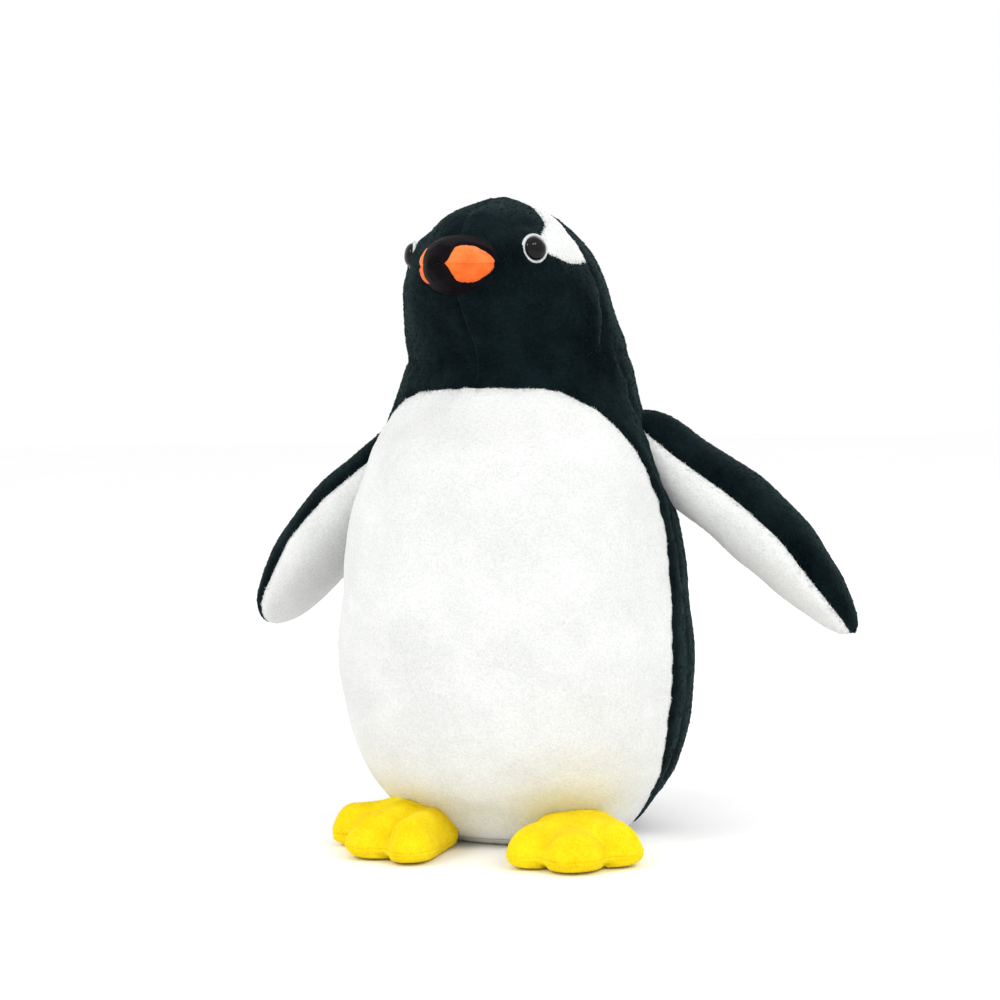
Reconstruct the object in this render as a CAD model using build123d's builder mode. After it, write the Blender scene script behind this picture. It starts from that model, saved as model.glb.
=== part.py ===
from build123d import *
from math import cos, radians, sin
import os

# Plush penguin, standing. Z is up, the penguin faces -Y and its left side is +X.
# The origin is the middle of the flat base, on the surface that the toy stands on.

os.makedirs("parts", exist_ok=True)

# ---- driving dimensions, mm -------------------------------------------------------------
TOTAL_HEIGHT = 267.0
NECK_HEIGHT = 198.0
NECK_GAP = 0.6                 # clearance between the head and the torso at the neck seam
SKIN = 2.0                     # plush fabric with its pile
SATIN = 1.2                    # smooth fabric of the beak
BASE_THICKNESS = 2.0
FAR = 120.0                    # reach of the cutting shapes beyond the toy

# Body outline: height, half width, half depth, forward shift of the middle.
NECK_SECTION = (47.3, 41.2, -2.8)
TORSO_SECTIONS = [
    (0.0, 42.0, 38.0, 0.0),
    (14.0, 55.0, 51.0, 2.0),
    (30.0, 65.5, 60.0, 5.0),
    (52.0, 73.0, 62.5, 8.0),
    (76.0, 75.5, 63.5, 9.0),
    (105.0, 73.5, 65.0, 8.5),
    (134.0, 69.0, 65.0, 6.5),
    (160.0, 61.5, 59.0, 3.0),
    (180.0, 54.0, 48.5, -1.5),
]
HEAD_SECTIONS = [
    (214.0, 44.5, 46.0, 4.0),
    (228.0, 41.0, 50.0, 8.5),
    (240.0, 35.5, 48.0, 10.0),
    (250.0, 28.5, 40.0, 10.5),
    (258.0, 20.5, 29.5, 10.5),
    (264.0, 10.5, 15.5, 10.5),
    (TOTAL_HEIGHT, 2.5, 4.0, 10.5),
]

# Seams seen from the side, as (Y, Z) points.
BELLY_BORDER = [(-60, 187), (-39, 187), (-29, 181), (-19, 168), (-13, 150), (-11, 134),
                (-16, 105), (-20.5, 76), (-19, 46), (-8, 23), (2, 8)]
BODY_SIDE_SEAM = [(-6, 200), (-2, 186), (1, 160), (-2, 130), (-3, 95), (-3, 55), (2, 8)]
HEAD_SIDE_SEAM = [(-13, 196), (-10, 217), (-7, 229), (-8, 237.5)]
PATCH_REAR = [(-8, 237.5), (-5, 247), (-4, 257)]
PATCH_FRONT = [(-15, 259), (-20, 254.5), (-29, 249), (-35, 241)]
PATCH_LOWER = [(-35, 241), (-27, 237.5), (-18, 236.2), (-8, 237.5)]
STRAP_FRONT = -15.0            # the white strap crosses the crown between these two Y
STRAP_REAR = -4.0
ABOVE_CROWN = 290.0            # heights that the side-view cuts reach to
BELOW_NECK = 190.0

POUCH_RADIUS = 33.0            # pellet pouch that keeps the toy upright
POUCH_HALF_HEIGHT = 13.0
POUCH_CENTRE_HEIGHT = 22.0
POUCH_WALL = 0.8
POUCH_ROUNDING = 11.0

EYE_CENTRE = Vector(27.6, -39.4, 242.0)
EYE_AXIS = Vector(0.835, -0.535, 0.13)
EYE_RADIUS = 4.9
EYE_RIM = 0.6
EYE_DOME_HEIGHT = 3.2
EYE_RING_RADIUS = 5.4          # to the middle of the ring's round section
EYE_RING_SECTION = 0.65
EYE_SHANK_RADIUS = 1.6
EYE_SHANK_LENGTH = 9.0
EYE_SEAT_RADIUS = 6.3
EYE_SEAT_REACH = 15.0          # how far out the seat's cut goes
WASHER_RADIUS = 6.5
WASHER_THICKNESS = 1.4
WASHER_DEPTH = 4.0

BEAK_HEIGHT = 236.0
# Beak outline: Y, half width, half height.
BEAK_SECTIONS = [
    (-44.0, 19.2, 13.4),
    (-55.0, 16.4, 12.0),
    (-64.0, 11.8, 9.7),
    (-70.0, 7.8, 6.9),
    (-74.0, 4.1, 3.8),
    (-75.5, 1.6, 1.4),
]
ALMOND_REAR = -53.5
ALMOND_FRONT = -73.6
ALMOND_HALF_HEIGHT = 7.8

FLIPPER_PIVOT = Vector(61.5, 13.0, 157.0)
FLIPPER_TIP = Vector(137.0, 25.0, 90.0)
FLIPPER_CHORD = Vector(0.287, -0.927, 0.225)
FLIPPER_DROOP = 8.0            # degrees below rest that the shoulder hollow allows
FLIPPER_CLEARANCE = 0.8
FLIPPER_ROOT_RADIUS = 3.0      # of the thin edge that turns about the hinge line
FLIPPER_ROOT_HALF_LENGTH = 14.0
# Flipper outline: fraction of the length, half chord, half thickness, arch of the middle.
FLIPPER_SECTIONS = [
    (0.0, FLIPPER_ROOT_HALF_LENGTH, FLIPPER_ROOT_RADIUS, 0.0),
    (0.12, 17.0, 9.5, 0.5),
    (0.28, 19.5, 14.0, 1.5),
    (0.48, 20.0, 15.5, 2.0),
    (0.70, 19.0, 14.5, 1.0),
    (0.86, 15.5, 11.5, -1.0),
    (0.95, 10.0, 7.5, -2.5),
    (1.0, 2.0, 1.5, -3.5),
]

FEET_OFFSET = 6.2              # the middle between the feet sits this far towards the left
FOOT_HEEL = Vector(25.1 + FEET_OFFSET, -26.0, 0.0)
FOOT_SPLAY = 20.0
TOE_HALF_HEIGHT = 8.0
TOE_HALF_WIDTH = 11.0
FOOT_CLEARANCE = 4.4
# Toes: turn from the middle of the foot in degrees, reach from the heel.
TOES = [(-21.0, 53.0), (2.0, 60.0), (26.0, 55.0)]
# Where each toe's sections stand, from heel (-1) to tip (1).
TOE_STATIONS = (-0.97, -0.80, -0.45, 0.0, 0.45, 0.80, 0.97)
TOE_FULLNESS = 2.4             # higher keeps a toe thick closer to its ends

TAIL_ROOT = Vector(0.0, 50.0, 36.0)
TAIL_DIRECTION = Vector(0.0, 0.80, -0.60)
TAIL_CLEARANCE = 1.4
# Tail outline: distance from the root, half width, half thickness.
TAIL_LENGTH = 35.0
TAIL_SECTIONS = [(0.0, 17.0, 7.5), (14.0, 14.5, 6.5), (27.0, 9.0, 4.5), (TAIL_LENGTH, 2.5, 1.8)]


# ---- shared shapes ----------------------------------------------------------------------
def save(builder, name):
    """Label a finished piece and write its file."""
    builder.part.label = name
    export_step(builder.part, f"parts/{name}.step")


def stacked_ellipses(sections, growth=0.0):
    """A smooth body through ellipses stacked in Z, each grown outwards by growth."""
    with BuildPart() as stack:
        for height, half_width, half_depth, forward in sections:
            with BuildSketch(Plane.XY.offset(height)):
                with Locations((0, -forward)):
                    Ellipse(half_width + growth, half_depth + growth)
        loft()
    return stack.part


def side_region(border, corners):
    """The X > 0 space beside a closed side-view outline: a spline and straight corners."""
    with BuildPart() as region:
        with BuildSketch(Plane.YZ):
            with BuildLine():
                Spline(*border)
                Polyline(border[-1], *corners, border[0])
            make_face()
        extrude(amount=FAR)
    return region.part


def beak_loft(inset=0.0):
    """The beak's body, tapering forward from inside the head to its blunt tip."""
    with BuildPart() as beak_body:
        for y, half_width, half_height in BEAK_SECTIONS:
            with BuildSketch(Plane(origin=(0, y + inset, BEAK_HEIGHT), x_dir=(1, 0, 0), z_dir=(0, -1, 0))):
                Ellipse(half_width - inset, half_height - inset)
        loft()
    return beak_body.part


def flipper_loft(growth=0.0):
    """The left flipper: a stuffed paddle that starts thin at the hinge line of its seam."""
    along = FLIPPER_TIP - FLIPPER_PIVOT
    length = along.length
    axis = along.normalized()
    chord = (FLIPPER_CHORD - axis * FLIPPER_CHORD.dot(axis)).normalized()
    outward = chord.cross(axis)
    with BuildPart() as paddle:
        for fraction, half_chord, half_thickness, arch in FLIPPER_SECTIONS:
            reach = fraction * length + growth * (2 * fraction - 1)
            middle = FLIPPER_PIVOT + axis * reach + outward * arch
            with BuildSketch(Plane(origin=middle, x_dir=chord, z_dir=axis)):
                Ellipse(half_chord + growth, half_thickness + growth)
        loft()
    return paddle.part


def tail_loft(inset=0.0):
    """The tail: a short flat wedge pointing back and down."""
    with BuildPart() as wedge:
        for reach, half_width, half_thickness in TAIL_SECTIONS:
            middle = TAIL_ROOT + TAIL_DIRECTION * (reach * (1 - inset / TAIL_LENGTH))
            with BuildSketch(Plane(origin=middle, x_dir=(1, 0, 0), z_dir=TAIL_DIRECTION)):
                Ellipse(half_width - inset, half_thickness - inset)
        loft()
    return wedge.part


def toe_direction(turn):
    """Unit vector of a left toe on the floor, turned outward from straight ahead."""
    return Vector(sin(radians(turn)), -cos(radians(turn)), 0)


def foot_body(inset=0.0):
    """Three stuffed toes fanned from the heel, joined over their common root."""
    with BuildPart() as toes:
        for turn, reach in TOES:
            direction = toe_direction(FOOT_SPLAY + turn)
            half_length = reach / 2 - inset
            middle = FOOT_HEEL + direction * (reach / 2) + Vector(0, 0, TOE_HALF_HEIGHT)
            for share in TOE_STATIONS:
                bulge = (1 - abs(share) ** TOE_FULLNESS) ** 0.5
                station = Plane(origin=middle + direction * (share * half_length),
                                x_dir=(-direction.Y, direction.X, 0), z_dir=direction)
                with BuildSketch(station):
                    Ellipse((TOE_HALF_WIDTH - inset) * bulge, (TOE_HALF_HEIGHT - inset) * bulge)
            loft()
    return toes.part


# ---- torso ------------------------------------------------------------------------------
neck_top = NECK_HEIGHT - NECK_GAP / 2
torso_sections = TORSO_SECTIONS + [(neck_top, *NECK_SECTION)]
torso_outer = stacked_ellipses(torso_sections)
torso_inner = stacked_ellipses(torso_sections, -SKIN)

# The hollow that each flipper's root lies in, at rest and at its lowest.
flipper_hinge = Axis(FLIPPER_PIVOT, FLIPPER_CHORD)
with BuildPart() as flipper_hollow:
    add(flipper_loft(FLIPPER_CLEARANCE))
    add(flipper_loft(FLIPPER_CLEARANCE).rotate(flipper_hinge, -FLIPPER_DROOP))
    with BuildSketch(Plane(origin=FLIPPER_PIVOT, z_dir=FLIPPER_CHORD)):
        Circle(FLIPPER_ROOT_RADIUS + FLIPPER_CLEARANCE)
    extrude(amount=FLIPPER_ROOT_HALF_LENGTH + FLIPPER_CLEARANCE, both=True)

with BuildPart() as torso_core:
    add(torso_inner)
    with BuildSketch(Plane.XY.offset(BASE_THICKNESS)):
        Rectangle(2 * FAR, 2 * FAR)
    extrude(amount=2 * FAR, mode=Mode.INTERSECT)
    add(flipper_hollow.part, mode=Mode.SUBTRACT)
    add(mirror(flipper_hollow.part, about=Plane.YZ, mode=Mode.PRIVATE), mode=Mode.SUBTRACT)

with BuildPart() as torso_skin:
    add(torso_outer)
    with BuildSketch(Plane.XY.offset(BASE_THICKNESS)):
        Rectangle(2 * FAR, 2 * FAR)
    extrude(amount=2 * FAR, mode=Mode.INTERSECT)
    add(torso_inner, mode=Mode.SUBTRACT)
    add(flipper_hollow.part, mode=Mode.SUBTRACT)

seam_foot = BODY_SIDE_SEAM[-1][0]
belly_region = side_region(BELLY_BORDER, [(seam_foot, -FAR), (-FAR, -FAR), (-FAR, BELLY_BORDER[0][1])])
front_region = side_region(BODY_SIDE_SEAM, [(seam_foot, -FAR), (-FAR, -FAR), (-FAR, BODY_SIDE_SEAM[0][1])])

with BuildPart() as belly_panel_left:
    add(torso_skin.part)
    add(belly_region, mode=Mode.INTERSECT)

with BuildPart() as chest_panel_left:
    add(torso_skin.part)
    add(front_region, mode=Mode.INTERSECT)
    add(belly_region, mode=Mode.SUBTRACT)

with BuildPart() as back_panel_left:
    add(torso_skin.part)
    split(bisect_by=Plane.YZ, keep=Keep.TOP)
    add(front_region, mode=Mode.SUBTRACT)
    add(belly_region, mode=Mode.SUBTRACT)

with BuildPart() as base_panel:
    add(torso_outer)
    with BuildSketch(Plane.XY):
        Rectangle(2 * FAR, 2 * FAR)
    extrude(amount=BASE_THICKNESS, mode=Mode.INTERSECT)


def pouch_solid(inset=0.0):
    """A flattened round bag of pellets."""
    with BuildPart() as bag:
        with Locations((0, 0, POUCH_CENTRE_HEIGHT)):
            Cylinder(POUCH_RADIUS - inset, 2 * (POUCH_HALF_HEIGHT - inset))
        fillet(bag.edges().filter_by(GeomType.CIRCLE), POUCH_ROUNDING - inset)
    return bag.part


with BuildPart() as pellet_fill:
    add(pouch_solid(POUCH_WALL))

with BuildPart() as pellet_pouch:
    add(pouch_solid())
    add(pellet_fill.part, mode=Mode.SUBTRACT)

with BuildPart() as torso_stuffing:
    add(torso_core.part)
    add(pouch_solid(), mode=Mode.SUBTRACT)

# ---- head -------------------------------------------------------------------------------
neck_bottom = NECK_HEIGHT + NECK_GAP / 2
head_sections = [(neck_bottom, *NECK_SECTION)] + HEAD_SECTIONS
head_outer = stacked_ellipses(head_sections)
inner_sections = head_sections[:-1] + [(TOTAL_HEIGHT - SKIN, 4.0, 6.0, HEAD_SECTIONS[-1][3])]
head_inner = stacked_ellipses(inner_sections, -SKIN)

eye_seat_plane = Plane(origin=EYE_CENTRE, x_dir=Vector(0, 0, 1).cross(EYE_AXIS), z_dir=EYE_AXIS)
eye_section_plane = Plane(origin=EYE_CENTRE, x_dir=eye_seat_plane.x_dir, z_dir=-eye_seat_plane.y_dir)
eye_axis_line = Axis(EYE_CENTRE, EYE_AXIS)

with BuildPart() as eye_seat:
    with BuildSketch(eye_seat_plane):
        Circle(EYE_SEAT_RADIUS)
    extrude(amount=EYE_SEAT_REACH)
    with BuildSketch(eye_seat_plane):
        Circle(EYE_SHANK_RADIUS)
    extrude(amount=-EYE_SHANK_LENGTH)
    with BuildSketch(eye_seat_plane.offset(-WASHER_DEPTH)):
        Circle(WASHER_RADIUS)
    extrude(amount=-WASHER_THICKNESS)

with BuildPart() as head_skin:
    add(head_outer)
    add(head_inner, mode=Mode.SUBTRACT)
    add(eye_seat.part, mode=Mode.SUBTRACT)

with BuildPart() as head_stuffing:
    add(head_inner)
    add(eye_seat.part, mode=Mode.SUBTRACT)
    add(mirror(eye_seat.part, about=Plane.YZ, mode=Mode.PRIVATE), mode=Mode.SUBTRACT)

with BuildPart() as face_region:
    with BuildSketch(Plane.YZ):
        with BuildLine():
            Spline(*HEAD_SIDE_SEAM)
            Spline(*PATCH_REAR)
            Polyline(PATCH_REAR[-1], (STRAP_REAR, ABOVE_CROWN), (-FAR, ABOVE_CROWN), (-FAR, BELOW_NECK),
                     (HEAD_SIDE_SEAM[0][0], BELOW_NECK), HEAD_SIDE_SEAM[0])
        make_face()
    extrude(amount=FAR)

with BuildPart() as patch_region:
    with BuildSketch(Plane.YZ):
        with BuildLine():
            Spline(*PATCH_LOWER)
            Spline(*PATCH_REAR)
            Polyline(PATCH_REAR[-1], (STRAP_REAR, ABOVE_CROWN), (STRAP_FRONT, ABOVE_CROWN), PATCH_FRONT[0])
            Spline(*PATCH_FRONT)
        make_face()
    extrude(amount=FAR)

with BuildPart() as eye_patch_left:
    add(head_skin.part)
    add(patch_region.part, mode=Mode.INTERSECT)

with BuildPart() as face_panel_left:
    add(head_skin.part)
    add(face_region.part, mode=Mode.INTERSECT)
    add(patch_region.part, mode=Mode.SUBTRACT)

with BuildPart() as back_head_panel_left:
    add(head_skin.part)
    split(bisect_by=Plane.YZ, keep=Keep.TOP)
    add(face_region.part, mode=Mode.SUBTRACT)

with BuildPart() as eye_left:
    with BuildSketch(eye_seat_plane):
        Circle(EYE_RADIUS)
    extrude(amount=EYE_RIM)
    with BuildSketch(eye_section_plane.shift_origin(EYE_CENTRE + eye_seat_plane.z_dir * EYE_RIM)):
        Ellipse(EYE_RADIUS, EYE_DOME_HEIGHT)
        with Locations((-EYE_RADIUS, 0)):
            Rectangle(2 * EYE_RADIUS, 4 * EYE_RADIUS, mode=Mode.SUBTRACT)
        with Locations((0, -EYE_RADIUS)):
            Rectangle(4 * EYE_RADIUS, 2 * EYE_RADIUS, mode=Mode.SUBTRACT)
    revolve(axis=eye_axis_line)
    with BuildSketch(eye_seat_plane):
        Circle(EYE_SHANK_RADIUS)
    extrude(amount=-EYE_SHANK_LENGTH)

with BuildPart() as eye_ring_left:
    with BuildSketch(eye_section_plane):
        with Locations((EYE_RING_RADIUS, EYE_RING_SECTION)):
            Circle(EYE_RING_SECTION)
    revolve(axis=eye_axis_line)
    add(eye_left.part, mode=Mode.SUBTRACT)

with BuildPart() as eye_washer_left:
    with BuildSketch(eye_seat_plane.offset(-WASHER_DEPTH)):
        Circle(WASHER_RADIUS)
        Circle(EYE_SHANK_RADIUS, mode=Mode.SUBTRACT)
    extrude(amount=-WASHER_THICKNESS)

# ---- beak -------------------------------------------------------------------------------
with BuildPart() as beak_stuffing:
    add(beak_loft(SATIN))
    add(head_outer, mode=Mode.SUBTRACT)

with BuildPart() as beak_skin:
    add(beak_loft())
    add(beak_loft(SATIN), mode=Mode.SUBTRACT)
    add(head_outer, mode=Mode.SUBTRACT)

almond_middle = (ALMOND_REAR + ALMOND_FRONT) / 2
with BuildPart() as almond_upper_region:
    with BuildSketch(Plane.YZ):
        with BuildLine():
            ThreePointArc((ALMOND_FRONT, BEAK_HEIGHT), (almond_middle, BEAK_HEIGHT + ALMOND_HALF_HEIGHT),
                          (ALMOND_REAR, BEAK_HEIGHT))
            Line((ALMOND_REAR, BEAK_HEIGHT), (ALMOND_FRONT, BEAK_HEIGHT))
        make_face()
    extrude(amount=FAR)

with BuildPart() as almond_lower_region:
    mirror(almond_upper_region.part, about=Plane.XY.offset(BEAK_HEIGHT))

with BuildPart() as beak_side_upper_left:
    add(beak_skin.part)
    add(almond_upper_region.part, mode=Mode.INTERSECT)

with BuildPart() as beak_side_lower_left:
    add(beak_skin.part)
    add(almond_lower_region.part, mode=Mode.INTERSECT)

with BuildPart() as beak_top:
    add(beak_skin.part)
    split(bisect_by=Plane.XY.offset(BEAK_HEIGHT), keep=Keep.TOP)
    add(almond_upper_region.part, mode=Mode.SUBTRACT)
    add(mirror(almond_upper_region.part, about=Plane.YZ, mode=Mode.PRIVATE), mode=Mode.SUBTRACT)

with BuildPart() as beak_bottom:
    add(beak_skin.part)
    split(bisect_by=Plane.XY.offset(BEAK_HEIGHT), keep=Keep.BOTTOM)
    add(almond_lower_region.part, mode=Mode.SUBTRACT)
    add(mirror(almond_lower_region.part, about=Plane.YZ, mode=Mode.PRIVATE), mode=Mode.SUBTRACT)

# ---- flippers ---------------------------------------------------------------------------
flipper_axis = (FLIPPER_TIP - FLIPPER_PIVOT).normalized()
flipper_seam_plane = Plane(origin=FLIPPER_PIVOT, x_dir=flipper_axis,
                           z_dir=FLIPPER_CHORD.cross(flipper_axis))

with BuildPart() as flipper_stuffing_left:
    add(flipper_loft(-SKIN / 2))

with BuildPart() as flipper_skin:
    add(flipper_loft())
    add(flipper_loft(-SKIN / 2), mode=Mode.SUBTRACT)

with BuildPart() as flipper_outer_panel_left:
    add(flipper_skin.part)
    split(bisect_by=flipper_seam_plane, keep=Keep.TOP)

with BuildPart() as flipper_inner_panel_left:
    add(flipper_skin.part)
    split(bisect_by=flipper_seam_plane, keep=Keep.BOTTOM)

# ---- feet -------------------------------------------------------------------------------
foot_room = stacked_ellipses(TORSO_SECTIONS[:4], FOOT_CLEARANCE)
between_feet = Plane.YZ.offset(FEET_OFFSET)
foot_whole = foot_body()
foot_core = foot_body(SKIN)
foot_solids = {
    "left": (foot_whole, foot_core),
    "right": (foot_whole.mirror(between_feet), foot_core.mirror(between_feet)),
}
for side, (whole, core) in foot_solids.items():
    with BuildPart() as foot_stuffing:
        add(core)
        add(foot_room, mode=Mode.SUBTRACT)
    save(foot_stuffing, f"{side}_foot_stuffing")

    with BuildPart() as foot_skin:
        add(whole)
        add(core, mode=Mode.SUBTRACT)
        add(foot_room, mode=Mode.SUBTRACT)

    with BuildPart() as foot_top_panel:
        add(foot_skin.part)
        split(bisect_by=Plane.XY.offset(TOE_HALF_HEIGHT), keep=Keep.TOP)
    save(foot_top_panel, f"{side}_foot_top_panel")

    with BuildPart() as foot_sole_panel:
        add(foot_skin.part)
        split(bisect_by=Plane.XY.offset(TOE_HALF_HEIGHT), keep=Keep.BOTTOM)
    save(foot_sole_panel, f"{side}_foot_sole_panel")

# ---- tail -------------------------------------------------------------------------------
tail_room = stacked_ellipses(TORSO_SECTIONS[:5], TAIL_CLEARANCE)
tail_seam_plane = Plane(origin=TAIL_ROOT, x_dir=(1, 0, 0), z_dir=(0, 0.6, 0.8))

with BuildPart() as tail_stuffing:
    add(tail_loft(SKIN / 2))
    add(tail_room, mode=Mode.SUBTRACT)

with BuildPart() as tail_skin:
    add(tail_loft())
    add(tail_loft(SKIN / 2), mode=Mode.SUBTRACT)
    add(tail_room, mode=Mode.SUBTRACT)

with BuildPart() as tail_upper_panel:
    add(tail_skin.part)
    split(bisect_by=tail_seam_plane, keep=Keep.TOP)

with BuildPart() as tail_lower_panel:
    add(tail_skin.part)
    split(bisect_by=tail_seam_plane, keep=Keep.BOTTOM)

# ---- labels and files, with the right-hand twin of every left-hand piece ---------------------
MIDDLE_PIECES = {
    "torso_stuffing": torso_stuffing,
    "pellet_pouch": pellet_pouch,
    "pellet_fill": pellet_fill,
    "base_panel": base_panel,
    "head_stuffing": head_stuffing,
    "beak_stuffing": beak_stuffing,
    "beak_top": beak_top,
    "beak_bottom": beak_bottom,
    "tail_stuffing": tail_stuffing,
    "tail_upper_panel": tail_upper_panel,
    "tail_lower_panel": tail_lower_panel,
}
LEFT_PIECES = {
    "belly_panel": belly_panel_left,
    "chest_panel": chest_panel_left,
    "back_panel": back_panel_left,
    "face_panel": face_panel_left,
    "back_head_panel": back_head_panel_left,
    "eye_patch": eye_patch_left,
    "eye": eye_left,
    "eye_ring": eye_ring_left,
    "eye_washer": eye_washer_left,
    "beak_side_upper": beak_side_upper_left,
    "beak_side_lower": beak_side_lower_left,
    "flipper_outer_panel": flipper_outer_panel_left,
    "flipper_inner_panel": flipper_inner_panel_left,
    "flipper_stuffing": flipper_stuffing_left,
}
for name, piece in MIDDLE_PIECES.items():
    save(piece, name)
for name, piece in LEFT_PIECES.items():
    save(piece, f"left_{name}")
    with BuildPart() as twin:
        mirror(piece.part, about=Plane.YZ)
    save(twin, f"right_{name}")
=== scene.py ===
import math

import bpy
import numpy as np
from mathutils import Matrix, Vector, kdtree, noise


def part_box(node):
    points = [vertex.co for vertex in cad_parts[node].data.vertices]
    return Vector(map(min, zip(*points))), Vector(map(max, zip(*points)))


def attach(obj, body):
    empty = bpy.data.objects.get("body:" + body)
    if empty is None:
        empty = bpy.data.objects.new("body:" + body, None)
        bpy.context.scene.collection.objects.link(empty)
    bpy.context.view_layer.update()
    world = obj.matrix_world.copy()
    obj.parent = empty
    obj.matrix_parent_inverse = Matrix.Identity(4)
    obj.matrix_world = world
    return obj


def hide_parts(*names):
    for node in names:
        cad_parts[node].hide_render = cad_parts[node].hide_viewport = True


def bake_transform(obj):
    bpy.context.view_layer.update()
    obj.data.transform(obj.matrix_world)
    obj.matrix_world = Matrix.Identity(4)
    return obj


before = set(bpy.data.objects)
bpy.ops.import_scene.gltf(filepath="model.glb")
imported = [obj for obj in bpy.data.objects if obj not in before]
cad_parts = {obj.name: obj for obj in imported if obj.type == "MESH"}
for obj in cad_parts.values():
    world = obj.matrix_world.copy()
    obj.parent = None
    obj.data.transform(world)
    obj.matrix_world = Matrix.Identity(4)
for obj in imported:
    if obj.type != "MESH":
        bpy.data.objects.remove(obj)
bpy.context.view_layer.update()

# Lengths below are in millimetres, in the frame of the CAD model, until a mesh is made.
MM = 0.001

# ---- dimensions shared with the CAD model ----
# Body outline: height, half width, half depth, forward shift of the middle.
BODY_OUTLINE = [
    (0.0, 0.0, 0.0, 0.0), (0.0, 20.0, 18.0, 0.0), (0.0, 36.0, 33.0, 0.0), (0.8, 41.0, 37.5, 0.0),
    (4.0, 46.5, 42.5, 0.5), (14.0, 55.0, 51.0, 2.0), (30.0, 65.5, 60.0, 5.0), (52.0, 73.0, 62.5, 8.0),
    (76.0, 75.5, 63.5, 9.0), (105.0, 73.5, 65.0, 8.5), (134.0, 69.0, 65.0, 6.5),
    (160.0, 61.5, 59.5, 3.0), (180.0, 54.0, 48.5, -1.5), (198.0, 48.6, 41.6, -2.6),
    (214.0, 45.0, 46.0, 4.0), (228.0, 41.0, 50.0, 8.5), (240.0, 35.5, 48.0, 10.0),
    (250.0, 28.9, 40.7, 10.7), (258.0, 21.1, 32.2, 11.4), (263.5, 11.4, 17.2, 11.2),
    (266.2, 4.4, 5.6, 10.5), (267.0, 0.0, 0.0, 10.5),
]
BASE_SEAM_HEIGHT = 2.2
# Seams seen from the side, as (Y, Z) points.
BELLY_BORDER = [(-75, 187.5), (-39, 187), (-29, 181), (-19, 168), (-13, 150), (-11, 134),
                (-14.5, 105), (-18.5, 76), (-16.5, 46), (-5.5, 23), (3, 8)]
BODY_SIDE_SEAM = [(-6, 205), (-2, 186), (1, 160), (-2, 130), (-3, 95), (-3, 55), (2, 8)]
NECK_SEAM = [(-90, 197), (-38, 197), (-25, 198.5), (-12, 200.5), (5, 201), (30, 200), (70, 199)]
HEAD_SIDE_SEAM = [(-12, 190), (-13, 203), (-10, 217), (-7, 229), (-7.5, 237.5)]
PATCH_REAR = [(-7.5, 237.5), (-5.2, 241.5), (-4.6, 247), (-3.8, 251.5), (-1, 256), (2.5, 260), (4, 266),
              (4, 275)]
PATCH_FRONT = [(-4, 275), (-7, 266), (-10, 262.6), (-12.9, 259.9), (-16.6, 256.8), (-20.8, 253.5),
               (-26, 250.6), (-30.6, 247.8), (-34, 244)]
PATCH_LOWER = [(-36, 241), (-27, 237.8), (-18, 236.4), (-7.5, 237.5)]

EYE_CENTRE = np.array((27.6, -39.4, 242.0))
EYE_AXIS = np.array((0.835, -0.535, 0.13))
EYE_AXIS = EYE_AXIS / np.linalg.norm(EYE_AXIS)
EYE_RADIUS = 4.9
EYE_RING_RADIUS = 5.4
EYE_RING_SECTION = 0.72        # radius of the ring's round section
EYE_RING_HEIGHT = 0.35
EYE_SINK = 0.9                 # how far the eye settles into the pile

BEAK_HEIGHT = 236.0
BEAK_BACK = -42
# Beak outline: Y, half width, half height.
BEAK_OUTLINE = [(-44, 19.4, 12.8), (-52, 17.6, 12.2), (-58, 14.8, 11.3), (-64, 11.3, 9.8),
                (-69, 7.8, 7.6), (-73, 4.6, 4.8), (-75, 2.3, 2.4), (-75.6, 0.0, 0.0)]
ALMOND_REAR = -53.5
ALMOND_FRONT = {"left": -73.6, "right": -67.0}
ALMOND_HALF_HEIGHT = 7.8
ALMOND_SKEW = 0.12

FLIPPER_PIVOT = np.array((61.5, 13.0, 157.0))
FLIPPER_TIP = np.array((137.0, 25.0, 90.0))
FLIPPER_CHORD = np.array((0.287, -0.927, 0.225))
# Flipper outline: distance from the pivot, half chord, half thickness, arch of the middle.
FLIPPER_OUTLINE = [(-22, 0, 0, 0), (-20.5, 7, 6.5, 0), (-17, 10.6, 10.4, 0), (-14, 12.4, 12, 0),
                   (-9, 13.8, 13.5, 0), (0, 15.2, 14.6, 0), (16, 17.9, 15.2, 0.8), (38, 20.3, 16.0, 2.0),
                   (60, 20, 15.2, 1.4), (80, 17.8, 12.8, -0.8), (93, 14.2, 9.6, -2.8),
                   (100.5, 9.8, 6.4, -4.0), (104.6, 5.0, 3.4, -4.8), (106.4, 0, 0, -5.2)]

FLIPPER_WRAP = 2.2             # how far the dark panel comes round the edges near the tip

FEET_OFFSET = 6.2
FOOT_HEEL = np.array((25.1 + FEET_OFFSET, -26.0, 0.0))
FOOT_SPLAY = math.radians(20.0)
FOOT_FORWARD = np.array((math.sin(FOOT_SPLAY), -math.cos(FOOT_SPLAY), 0))
FOOT_OUTWARD = np.array((math.cos(FOOT_SPLAY), math.sin(FOOT_SPLAY), 0))
FOOT_MIDDLE = 30.0             # from the heel to the point that the outline is drawn round
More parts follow.
